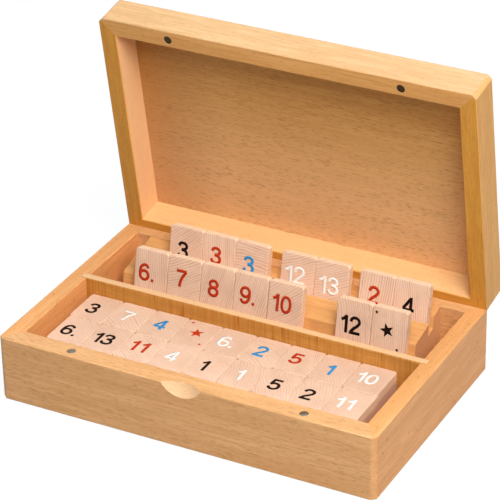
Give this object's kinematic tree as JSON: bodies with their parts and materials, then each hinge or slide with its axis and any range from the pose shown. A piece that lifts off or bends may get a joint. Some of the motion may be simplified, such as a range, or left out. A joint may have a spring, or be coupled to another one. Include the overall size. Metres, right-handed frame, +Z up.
{
  "type": "rummy tile case",
  "caption": "Wooden two-part case with comb-jointed mitres, concealed hinges, a divided base, lying tiles and a grooved rack of standing tiles.",
  "frame": {"origin": "centre of the case's underside, on the surface that it stands on", "axes": "+Z up, +X along the case's long side to the right, +Y from the notched front towards the hinges; the lid stands open"},
  "size_m": [0.27, 0.1949, 0.2173],
  "materials": {
    "beech": "clear satin varnish on warm beech",
    "tile_wood": "sanded, pale and slightly pink",
    "nickel": "nickel-plated magnet",
    "brass": "turned brass",
    "steel": "bright pin"
  },
  "bodies": {
    "case": {"base_front_wall": "beech", "base_left_wall": "beech", "base_right_wall": "beech", "base_rear_wall": "beech", "base_bottom": "beech", "divider": "beech", "base_magnets": "nickel", "left_hinge_fork": "brass", "right_hinge_fork": "brass", "left_hinge_pin": "steel", "right_hinge_pin": "steel", "tray_layer_1": "tile_wood", "tray_layer_2": "tile_wood", "tray_layer_3": "tile_wood", "tray_layer_4": "tile_wood"},
    "lid": {"lid_front_wall": "beech", "lid_left_wall": "beech", "lid_right_wall": "beech", "lid_rear_wall": "beech", "lid_top": "beech", "lid_magnets": "nickel", "left_hinge_tongue": "brass", "right_hinge_tongue": "brass"},
    "rack": {"rack": "beech"},
    "rack_tile_front_1_body": {"rack_tile_front_1": "tile_wood"},
    "rack_tile_front_2_body": {"rack_tile_front_2": "tile_wood"},
    "rack_tile_front_3_body": {"rack_tile_front_3": "tile_wood"},
    "rack_tile_front_4_body": {"rack_tile_front_4": "tile_wood"},
    "rack_tile_front_5_body": {"rack_tile_front_5": "tile_wood"},
    "rack_tile_front_6_body": {"rack_tile_front_6": "tile_wood"},
    "rack_tile_front_7_body": {"rack_tile_front_7": "tile_wood"},
    "rack_tile_rear_1_body": {"rack_tile_rear_1": "tile_wood"},
    "rack_tile_rear_2_body": {"rack_tile_rear_2": "tile_wood"},
    "rack_tile_rear_3_body": {"rack_tile_rear_3": "tile_wood"},
    "rack_tile_rear_4_body": {"rack_tile_rear_4": "tile_wood"},
    "rack_tile_rear_5_body": {"rack_tile_rear_5": "tile_wood"},
    "rack_tile_rear_6_body": {"rack_tile_rear_6": "tile_wood"},
    "rack_tile_rear_7_body": {"rack_tile_rear_7": "tile_wood"},
    "tray_tile_back_1_body": {"tray_tile_back_1": "tile_wood"},
    "tray_tile_back_2_body": {"tray_tile_back_2": "tile_wood"},
    "tray_tile_back_3_body": {"tray_tile_back_3": "tile_wood"},
    "tray_tile_back_4_body": {"tray_tile_back_4": "tile_wood"},
    "tray_tile_back_5_body": {"tray_tile_back_5": "tile_wood"},
    "tray_tile_back_6_body": {"tray_tile_back_6": "tile_wood"},
    "tray_tile_back_7_body": {"tray_tile_back_7": "tile_wood"},
    "tray_tile_back_8_body": {"tray_tile_back_8": "tile_wood"},
    "tray_tile_back_9_body": {"tray_tile_back_9": "tile_wood"},
    "tray_tile_front_1_body": {"tray_tile_front_1": "tile_wood"},
    "tray_tile_front_2_body": {"tray_tile_front_2": "tile_wood"},
    "tray_tile_front_3_body": {"tray_tile_front_3": "tile_wood"},
    "tray_tile_front_4_body": {"tray_tile_front_4": "tile_wood"},
    "tray_tile_front_5_body": {"tray_tile_front_5": "tile_wood"},
    "tray_tile_front_6_body": {"tray_tile_front_6": "tile_wood"},
    "tray_tile_front_7_body": {"tray_tile_front_7": "tile_wood"},
    "tray_tile_front_8_body": {"tray_tile_front_8": "tile_wood"},
    "tray_tile_front_9_body": {"tray_tile_front_9": "tile_wood"}
  },
  "joints": [
    {"name": "lid_hinge", "type": "hinge", "parent": "case", "child": "lid", "pos_m": [0, 0.0827, 0.04645], "axis": [-1, 0, 0], "range_deg": [-81, 0]},
    {"name": "rack_lift", "type": "slide", "parent": "case", "child": "rack", "axis": [0, 0, 1], "range_m": [0, 0.045]},
    {"name": "rack_tile_front_1_lift", "type": "slide", "parent": "rack", "child": "rack_tile_front_1_body", "axis": [0, 0.2079, 0.9781], "range_m": [0, 0.014]},
    {"name": "rack_tile_front_2_lift", "type": "slide", "parent": "rack", "child": "rack_tile_front_2_body", "axis": [0, 0.2079, 0.9781], "range_m": [0, 0.014]},
    {"name": "rack_tile_front_3_lift", "type": "slide", "parent": "rack", "child": "rack_tile_front_3_body", "axis": [0, 0.2079, 0.9781], "range_m": [0, 0.014]},
    {"name": "rack_tile_front_4_lift", "type": "slide", "parent": "rack", "child": "rack_tile_front_4_body", "axis": [0, 0.2079, 0.9781], "range_m": [0, 0.014]},
    {"name": "rack_tile_front_5_lift", "type": "slide", "parent": "rack", "child": "rack_tile_front_5_body", "axis": [0, 0.2079, 0.9781], "range_m": [0, 0.014]},
    {"name": "rack_tile_front_6_lift", "type": "slide", "parent": "rack", "child": "rack_tile_front_6_body", "axis": [0, 0.2079, 0.9781], "range_m": [0, 0.014]},
    {"name": "rack_tile_front_7_lift", "type": "slide", "parent": "rack", "child": "rack_tile_front_7_body", "axis": [0, 0.2079, 0.9781], "range_m": [0, 0.014]},
    {"name": "rack_tile_rear_1_lift", "type": "slide", "parent": "rack", "child": "rack_tile_rear_1_body", "axis": [0, 0.2079, 0.9781], "range_m": [0, 0.014]},
    {"name": "rack_tile_rear_2_lift", "type": "slide", "parent": "rack", "child": "rack_tile_rear_2_body", "axis": [0, 0.2079, 0.9781], "range_m": [0, 0.014]},
    {"name": "rack_tile_rear_3_lift", "type": "slide", "parent": "rack", "child": "rack_tile_rear_3_body", "axis": [0, 0.2079, 0.9781], "range_m": [0, 0.014]},
    {"name": "rack_tile_rear_4_lift", "type": "slide", "parent": "rack", "child": "rack_tile_rear_4_body", "axis": [0, 0.2079, 0.9781], "range_m": [0, 0.014]},
    {"name": "rack_tile_rear_5_lift", "type": "slide", "parent": "rack", "child": "rack_tile_rear_5_body", "axis": [0, 0.2079, 0.9781], "range_m": [0, 0.014]},
    {"name": "rack_tile_rear_6_lift", "type": "slide", "parent": "rack", "child": "rack_tile_rear_6_body", "axis": [0, 0.2079, 0.9781], "range_m": [0, 0.014]},
    {"name": "rack_tile_rear_7_lift", "type": "slide", "parent": "rack", "child": "rack_tile_rear_7_body", "axis": [0, 0.2079, 0.9781], "range_m": [0, 0.014]},
    {"name": "tray_tile_back_1_lift", "type": "slide", "parent": "case", "child": "tray_tile_back_1_body", "axis": [0, 0, 1], "range_m": [0, 0.02]},
    {"name": "tray_tile_back_2_lift", "type": "slide", "parent": "case", "child": "tray_tile_back_2_body", "axis": [0, 0, 1], "range_m": [0, 0.02]},
    {"name": "tray_tile_back_3_lift", "type": "slide", "parent": "case", "child": "tray_tile_back_3_body", "axis": [0, 0, 1], "range_m": [0, 0.02]},
    {"name": "tray_tile_back_4_lift", "type": "slide", "parent": "case", "child": "tray_tile_back_4_body", "axis": [0, 0, 1], "range_m": [0, 0.02]},
    {"name": "tray_tile_back_5_lift", "type": "slide", "parent": "case", "child": "tray_tile_back_5_body", "axis": [0, 0, 1], "range_m": [0, 0.02]},
    {"name": "tray_tile_back_6_lift", "type": "slide", "parent": "case", "child": "tray_tile_back_6_body", "axis": [0, 0, 1], "range_m": [0, 0.02]},
    {"name": "tray_tile_back_7_lift", "type": "slide", "parent": "case", "child": "tray_tile_back_7_body", "axis": [0, 0, 1], "range_m": [0, 0.02]},
    {"name": "tray_tile_back_8_lift", "type": "slide", "parent": "case", "child": "tray_tile_back_8_body", "axis": [0, 0, 1], "range_m": [0, 0.02]},
    {"name": "tray_tile_back_9_lift", "type": "slide", "parent": "case", "child": "tray_tile_back_9_body", "axis": [0, 0, 1], "range_m": [0, 0.02]},
    {"name": "tray_tile_front_1_lift", "type": "slide", "parent": "case", "child": "tray_tile_front_1_body", "axis": [0, 0, 1], "range_m": [0, 0.02]},
    {"name": "tray_tile_front_2_lift", "type": "slide", "parent": "case", "child": "tray_tile_front_2_body", "axis": [0, 0, 1], "range_m": [0, 0.02]},
    {"name": "tray_tile_front_3_lift", "type": "slide", "parent": "case", "child": "tray_tile_front_3_body", "axis": [0, 0, 1], "range_m": [0, 0.02]},
    {"name": "tray_tile_front_4_lift", "type": "slide", "parent": "case", "child": "tray_tile_front_4_body", "axis": [0, 0, 1], "range_m": [0, 0.02]},
    {"name": "tray_tile_front_5_lift", "type": "slide", "parent": "case", "child": "tray_tile_front_5_body", "axis": [0, 0, 1], "range_m": [0, 0.02]},
    {"name": "tray_tile_front_6_lift", "type": "slide", "parent": "case", "child": "tray_tile_front_6_body", "axis": [0, 0, 1], "range_m": [0, 0.02]},
    {"name": "tray_tile_front_7_lift", "type": "slide", "parent": "case", "child": "tray_tile_front_7_body", "axis": [0, 0, 1], "range_m": [0, 0.02]},
    {"name": "tray_tile_front_8_lift", "type": "slide", "parent": "case", "child": "tray_tile_front_8_body", "axis": [0, 0, 1], "range_m": [0, 0.02]},
    {"name": "tray_tile_front_9_lift", "type": "slide", "parent": "case", "child": "tray_tile_front_9_body", "axis": [0, 0, 1], "range_m": [0, 0.02]}
  ]
}
